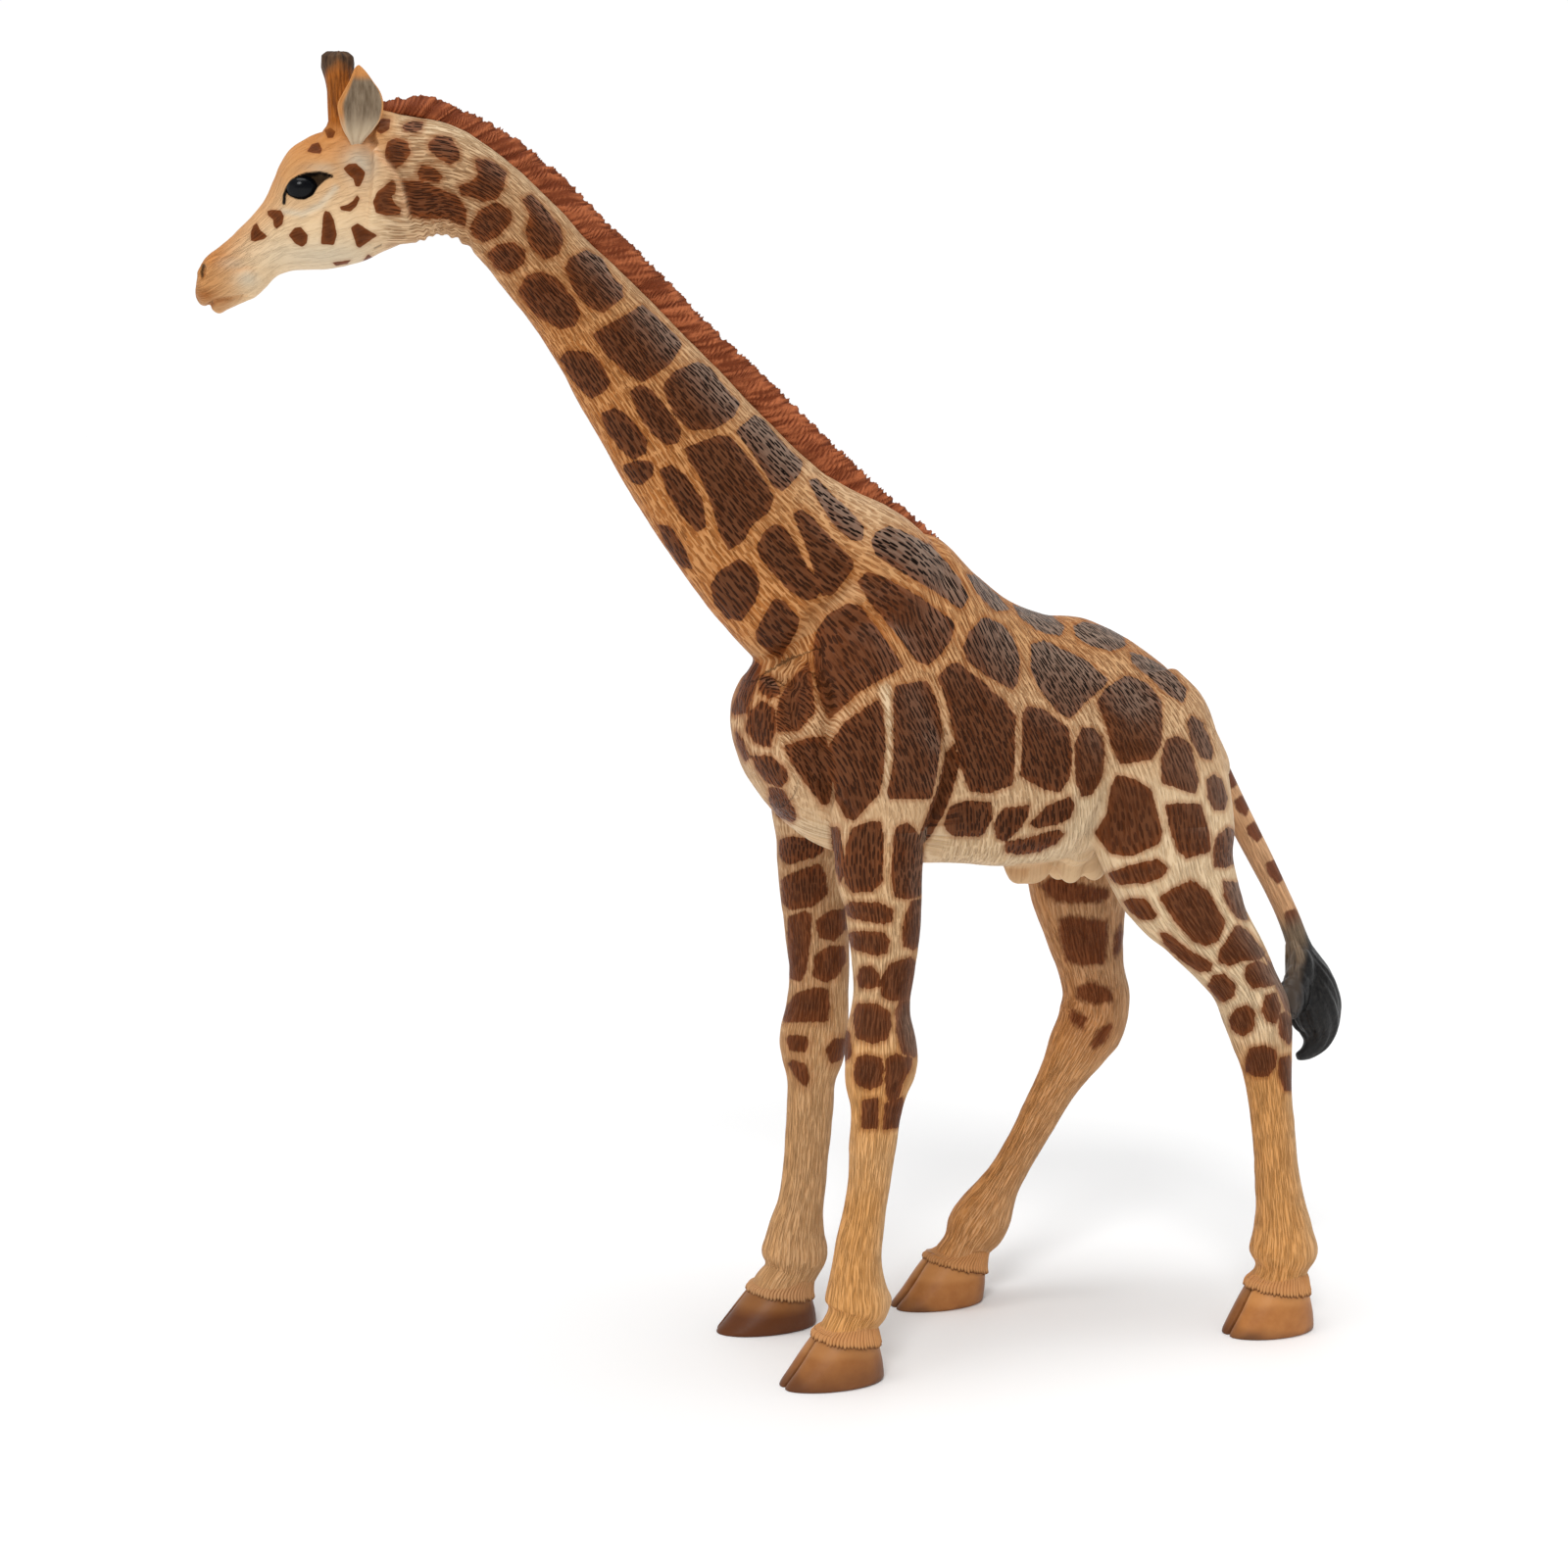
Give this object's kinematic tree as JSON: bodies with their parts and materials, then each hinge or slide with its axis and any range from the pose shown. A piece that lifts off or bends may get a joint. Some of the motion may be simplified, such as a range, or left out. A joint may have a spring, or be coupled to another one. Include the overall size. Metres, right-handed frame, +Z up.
{
  "type": "toy giraffe figure",
  "caption": "Standing toy giraffe for pretend play: a long-necked figure in mid-step with a patterned coat, ridged mane, small horns and a tufted tail, resting on four flat hoof soles.",
  "frame": {"origin": "the middle of the bounding box on the ground under the four soles", "axes": "+Z up; the figure looks toward -X; its left side faces -Y"},
  "size_m": [0.184, 0.0462, 0.2],
  "materials": {
    "coat": "soft vinyl, tan with brown painted patches, satin",
    "face": "soft vinyl, pale tan with small brown spots, satin",
    "mane": "soft vinyl, rust brown, ribbed",
    "ear": "soft vinyl, tan outside and grey brown inside",
    "horn": "soft vinyl, brown with dark tips",
    "eye": "gloss black paint",
    "leg": "soft vinyl, orange tan with brown patches above and brown hooves, satin",
    "tail": "soft vinyl, tan stem and black tuft, satin"
  },
  "bodies": {
    "root": {"torso": "coat", "neck": "coat", "head": "face", "mane": "mane", "ear_left": "ear", "ear_right": "ear", "horn_left": "horn", "horn_right": "horn", "eye_left": "eye", "eye_right": "eye", "foreleg_left": "leg", "foreleg_right": "leg", "hindleg_left": "leg", "hindleg_right": "leg", "tail": "tail"}
  },
  "joints": []
}
